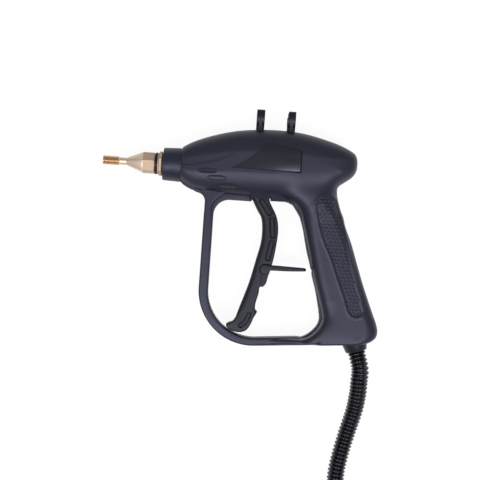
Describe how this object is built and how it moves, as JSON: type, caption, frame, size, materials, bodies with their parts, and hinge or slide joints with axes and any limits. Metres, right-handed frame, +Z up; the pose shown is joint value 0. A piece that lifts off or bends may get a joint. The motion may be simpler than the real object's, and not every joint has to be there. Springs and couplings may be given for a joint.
{
  "type": "handheld steam cleaner gun",
  "caption": "Pistol-shaped steam cleaner gun with brass nozzle, guarded lever trigger, flip-over safety latch, tube clips and a coiled ribbed hose with its connector.",
  "frame": {"origin": "centre of the gun's own bounding box on the surface that it lies on, hose and connector not counted", "axes": "+X to the rear along the barrel axis, nozzle towards -X; +Y from the grip to the roof clips; +Z up, out of the gun's left side"},
  "size_m": [0.315, 0.5755, 0.042],
  "materials": {
    "charcoal_plastic": "satin, fine mould grain",
    "brass": "fine turned",
    "steel": "plain zinc-plated",
    "black_rubber": "matte",
    "clear_silicone": "milky",
    "wire_insulation": "smooth",
    "switch_case": "smooth",
    "switch_plunger": "smooth",
    "hose_plastic": "glossy ribs"
  },
  "bodies": {
    "casing": {"left_shell": "charcoal_plastic", "right_shell": "charcoal_plastic", "shell_screw_1": "steel", "shell_screw_2": "steel", "shell_screw_3": "steel", "shell_screw_4": "steel", "shell_screw_5": "steel", "shell_screw_6": "steel", "shell_screw_7": "steel", "shell_screw_8": "steel", "front_tube_clip": "charcoal_plastic", "rear_tube_clip": "charcoal_plastic", "nozzle": "brass", "nozzle_o_ring": "black_rubber", "nozzle_holder": "brass", "steam_tube": "clear_silicone", "tube_clamp": "steel", "trigger_pin": "steel", "trigger_spring": "steel", "microswitch": "switch_case", "signal_wire_1": "wire_insulation", "signal_wire_2": "wire_insulation", "hose_gland": "charcoal_plastic", "hose_run": "hose_plastic", "hose_coil": "hose_plastic", "hose_tail": "hose_plastic", "connector_sleeve": "black_rubber", "connector_body": "charcoal_plastic", "connector_nipple": "brass", "connector_o_ring": "black_rubber", "connector_contact_1": "brass", "connector_contact_2": "brass", "connector_contact_3": "brass", "connector_button_spring": "steel"},
    "trigger": {"trigger": "charcoal_plastic", "latch_pin": "steel"},
    "latch": {"safety_latch": "charcoal_plastic"},
    "plunger": {"switch_plunger": "switch_plunger"},
    "release_button": {"connector_button": "charcoal_plastic"}
  },
  "joints": [
    {"name": "trigger_pull", "type": "hinge", "parent": "casing", "child": "trigger", "pos_m": [0.01614, 0.03581, 0.021], "axis": [0, 0, 1], "range_deg": [0, 20], "stiffness_Nm_per_rad": 1.5, "springref_deg": -5.73, "deforming": ["trigger_spring"]},
    {"name": "latch_flip", "type": "hinge", "parent": "trigger", "child": "latch", "pos_m": [0.02345, -0.03628, 0.021], "axis": [0, 0, 1], "range_deg": [-96, 0]},
    {"name": "plunger_push", "type": "slide", "parent": "casing", "child": "plunger", "axis": [-1, 0, 0], "range_m": [0, 0.0025]},
    {"name": "release_button_push", "type": "slide", "parent": "casing", "child": "release_button", "axis": [0, 0, -1], "range_m": [0, 0.0015], "stiffness_N_per_m": 1500, "springref_m": -0.001, "deforming": ["connector_button_spring"]}
  ],
  "couplings": [
    {"joint": "latch_flip", "follows": "trigger_pull", "ratio": -4.799},
    {"joint": "plunger_push", "follows": "trigger_pull", "m_per_rad": 0.00702}
  ]
}
